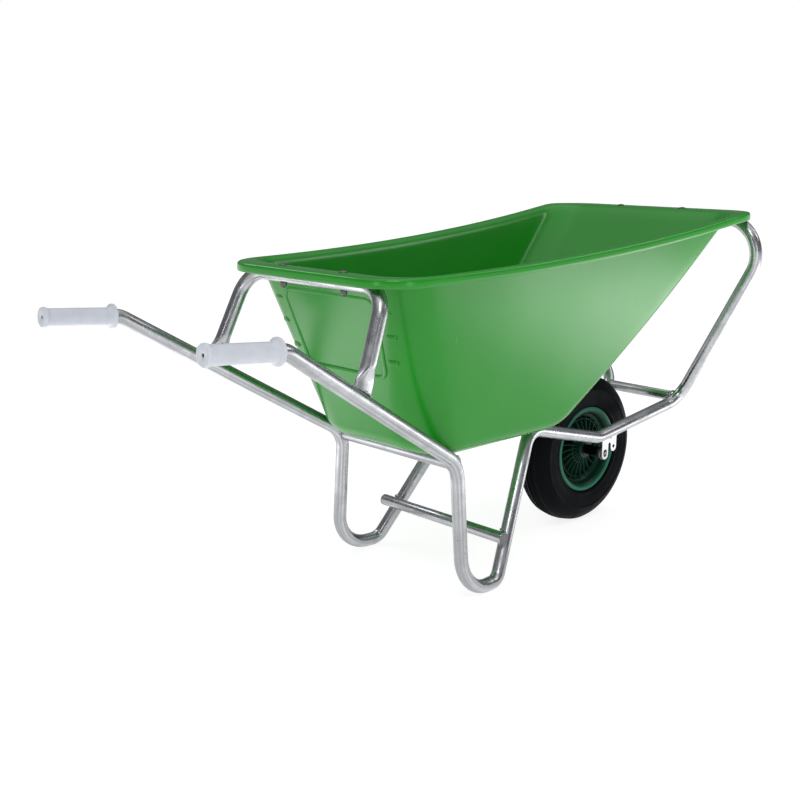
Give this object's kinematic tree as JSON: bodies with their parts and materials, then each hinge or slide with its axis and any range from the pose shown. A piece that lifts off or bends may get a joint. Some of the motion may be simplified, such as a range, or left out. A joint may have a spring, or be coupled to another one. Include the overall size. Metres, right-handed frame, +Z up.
{
  "type": "wheelbarrow",
  "caption": "Single-wheel garden wheelbarrow: deep plastic tray with a turned-down rim on a bent steel tube frame with looped legs and a pneumatic front wheel.",
  "frame": {"origin": "on the ground, at the middle of the part's length and width", "axes": "+X forward from the grips to the wheel, +Y to the left and along the axle, +Z up"},
  "size_m": [1.7174, 0.6914, 0.8352],
  "materials": {
    "galvanised_tube": "hot-dip galvanised steel tube and plate, bright with a faint spangle and runs",
    "zinc_hardware": "zinc plated bolts, nuts, washers, axle and bushes",
    "tray_plastic": "injection moulded green polyethylene, satin",
    "wheel_plastic": "moulded dark green polypropylene",
    "tyre_rubber": "black rubber",
    "valve_rubber": "black rubber valve and plastic cap",
    "grip_vinyl": "off-white soft vinyl",
    "plug_plastic": "grey plastic tube plug"
  },
  "bodies": {
    "frame": {"frame_rail_left": "galvanised_tube", "frame_rail_right": "galvanised_tube", "front_hoop": "galvanised_tube", "rear_arch": "galvanised_tube", "tray_cross_tube": "galvanised_tube", "leg_stretcher": "galvanised_tube", "front_cross_tube": "galvanised_tube", "axle": "zinc_hardware", "axle_bracket_left": "galvanised_tube", "axle_washer_left": "zinc_hardware", "axle_nut_left": "zinc_hardware", "axle_spacer_left": "zinc_hardware", "axle_bracket_right": "galvanised_tube", "axle_washer_right": "zinc_hardware", "axle_nut_right": "zinc_hardware", "axle_spacer_right": "zinc_hardware", "tray": "tray_plastic", "rim_bolt_rear_left": "zinc_hardware", "rim_washer_rear_left": "zinc_hardware", "rim_nut_rear_left": "zinc_hardware", "rim_bolt_rear_right": "zinc_hardware", "rim_washer_rear_right": "zinc_hardware", "rim_nut_rear_right": "zinc_hardware", "rim_bolt_front_left": "zinc_hardware", "rim_washer_front_left": "zinc_hardware", "rim_nut_front_left": "zinc_hardware", "rim_bolt_front_right": "zinc_hardware", "rim_washer_front_right": "zinc_hardware", "rim_nut_front_right": "zinc_hardware", "grip_left": "grip_vinyl", "stretcher_plug_left": "plug_plastic", "grip_right": "grip_vinyl", "stretcher_plug_right": "plug_plastic"},
    "wheel": {"wheel_centre": "wheel_plastic", "tyre": "tyre_rubber", "inner_tube": "tyre_rubber", "valve_stem": "valve_rubber", "valve_cap": "valve_rubber", "wheel_bush_left": "zinc_hardware", "wheel_bush_right": "zinc_hardware"}
  },
  "joints": [
    {"name": "wheel_spin", "type": "hinge", "parent": "frame", "child": "wheel", "pos_m": [0.51, 0, 0.2], "axis": [0, 1, 0], "continuous": true}
  ]
}
